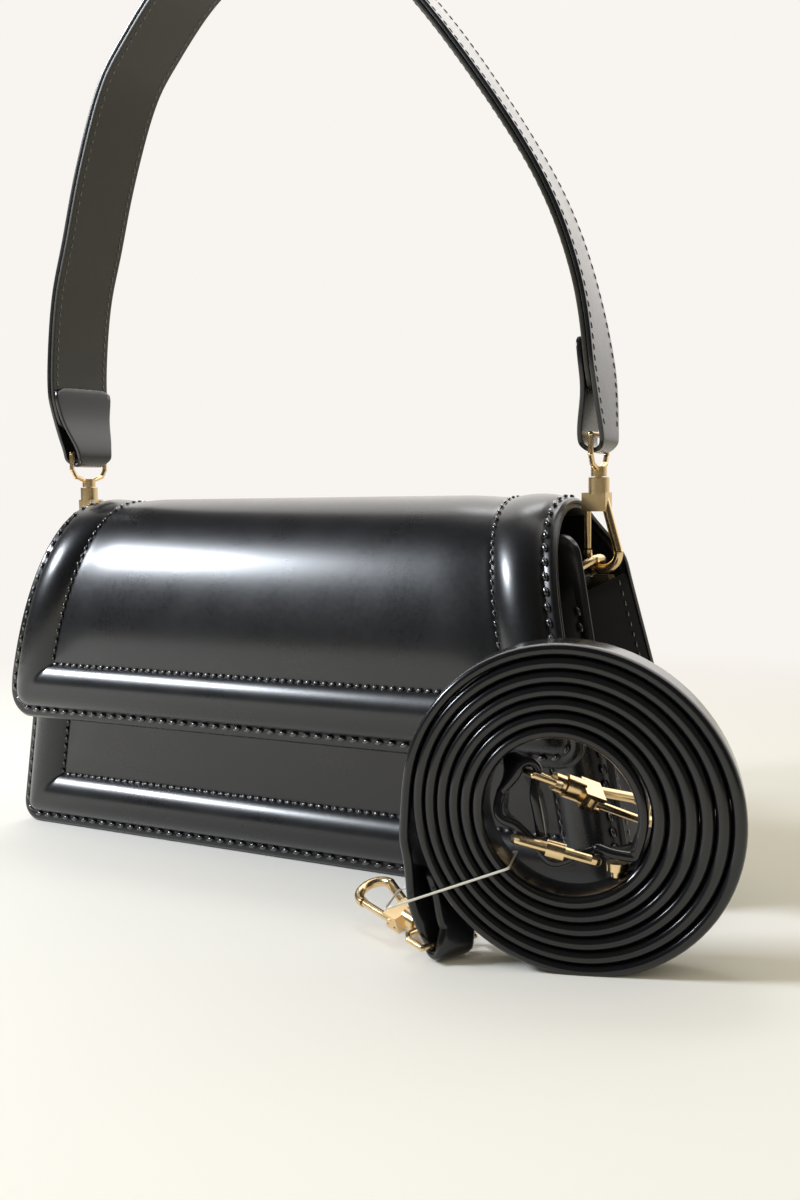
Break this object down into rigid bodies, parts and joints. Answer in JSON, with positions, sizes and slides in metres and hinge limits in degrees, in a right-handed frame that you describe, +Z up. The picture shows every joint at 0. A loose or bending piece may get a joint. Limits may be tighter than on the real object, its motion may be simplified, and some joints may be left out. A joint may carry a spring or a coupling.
{
  "type": "baguette bag",
  "caption": "Long low leather shoulder bag with a padded front flap, a clip-on shoulder strap and a long crossbody strap that stands coiled in front of it.",
  "frame": {"origin": "centre of the bag's base, on the surface that it stands on", "axes": "+X to the right in the front view, -Y is the bag's front, +Z up"},
  "size_m": [0.3173, 0.144, 0.3366],
  "materials": {
    "leather": "polished, smooth grain",
    "strap_leather": "polished, with painted black edges",
    "strap_lining": "smooth, satin, dark olive brown",
    "lining": "matt woven",
    "board": "matt grey-brown",
    "gold": "pale gold plating, polished",
    "snap_steel": "satin nickel plating",
    "pin_steel": "bright nickel plating",
    "thread": "waxed thread"
  },
  "bodies": {
    "body": {"base_panel": "leather", "base_board": "board", "front_panel": "leather", "front_board": "board", "front_frame": "leather", "back_panel": "leather", "back_board": "board", "left_gusset": "leather", "right_gusset": "leather", "body_lining": "lining", "left_ring_tab": "leather", "right_ring_tab": "leather", "snap_socket": "snap_steel", "snap_socket_washer": "snap_steel"},
    "flap": {"flap_panel": "leather", "flap_board": "board", "flap_lining": "lining", "flap_frame": "leather", "snap_stud": "snap_steel", "snap_stud_washer": "snap_steel"},
    "ring_left": {"left_ring": "gold"},
    "ring_right": {"right_ring": "gold"},
    "shoulder_strap": {"strap_outer": "strap_leather", "strap_lining": "strap_lining", "left_eye": "gold", "right_eye": "gold"},
    "hook_left": {"left_hook": "gold", "left_gate_pin": "pin_steel"},
    "hook_right": {"right_hook": "gold", "right_gate_pin": "pin_steel"},
    "gate_left": {"left_gate": "gold"},
    "gate_right": {"right_gate": "gold"},
    "coil": {"crossbody_strap": "strap_leather", "slider_frame": "gold", "slider_bar": "gold", "strap_stud": "gold", "winding_tie": "thread", "inner_eye": "gold", "outer_eye": "gold"},
    "hook_inner": {"inner_hook": "gold", "inner_gate_pin": "pin_steel"},
    "hook_outer": {"outer_hook": "gold", "outer_gate_pin": "pin_steel"},
    "gate_inner": {"inner_gate": "gold"},
    "gate_outer": {"outer_gate": "gold"}
  },
  "joints": [
    {"name": "flap_hinge", "type": "hinge", "parent": "body", "child": "flap", "pos_m": [0, -0.0036, 0.12628], "axis": [-1, 0, 0], "range_deg": [0, 85]},
    {"name": "left_ring_pivot", "type": "hinge", "parent": "body", "child": "ring_left", "pos_m": [-0.10457, -0.0105, 0.10213], "axis": [0, 1, 0], "range_deg": [0, 4]},
    {"name": "right_ring_pivot", "type": "hinge", "parent": "body", "child": "ring_right", "pos_m": [0.10457, -0.0105, 0.10213], "axis": [0, -1, 0], "range_deg": [0, 4]},
    {"name": "strap_swing", "type": "hinge", "parent": "body", "child": "shoulder_strap", "pos_m": [0, -0.0105, 0.1092], "axis": [-1, 0, 0], "range_deg": [-12, 10]},
    {"name": "left_swivel", "type": "hinge", "parent": "shoulder_strap", "child": "hook_left", "pos_m": [-0.113, -0.0105, 0.1357], "axis": [0, 0, 1], "range_deg": [-6, 6]},
    {"name": "right_swivel", "type": "hinge", "parent": "shoulder_strap", "child": "hook_right", "pos_m": [0.113, -0.0105, 0.1357], "axis": [0, 0, 1], "range_deg": [-6, 6]},
    {"name": "left_gate_hinge", "type": "hinge", "parent": "hook_left", "child": "gate_left", "pos_m": [-0.1096, -0.0105, 0.1271], "axis": [0, 1, 0], "range_deg": [0, 15], "stiffness_Nm_per_rad": 0.02},
    {"name": "right_gate_hinge", "type": "hinge", "parent": "hook_right", "child": "gate_right", "pos_m": [0.1096, -0.0105, 0.1271], "axis": [0, -1, 0], "range_deg": [0, 15], "stiffness_Nm_per_rad": 0.02},
    {"name": "coil_lift", "type": "slide", "parent": "body", "child": "coil", "axis": [0, 0, 1], "range_m": [0, 0.05]},
    {"name": "inner_swivel", "type": "hinge", "parent": "coil", "child": "hook_inner", "pos_m": [0.13322, -0.08096, 0.04943], "axis": [-0.629, -0.6774, 0.3813], "range_deg": [-15, 15]},
    {"name": "outer_swivel", "type": "hinge", "parent": "coil", "child": "hook_outer", "pos_m": [0.09294, -0.0921, 0.00653], "axis": [0.9157, -0.3802, -0.1301], "range_deg": [-15, 15]},
    {"name": "inner_gate_hinge", "type": "hinge", "parent": "hook_inner", "child": "gate_inner", "pos_m": [0.14052, -0.07763, 0.04482], "axis": [0.5448, -0.0343, 0.8378], "range_deg": [0, 15], "stiffness_Nm_per_rad": 0.02},
    {"name": "outer_gate_hinge", "type": "hinge", "parent": "hook_outer", "child": "gate_outer", "pos_m": [0.08371, -0.09168, 0.00639], "axis": [0.0322, 0.3922, -0.9193], "range_deg": [0, 15], "stiffness_Nm_per_rad": 0.02}
  ]
}
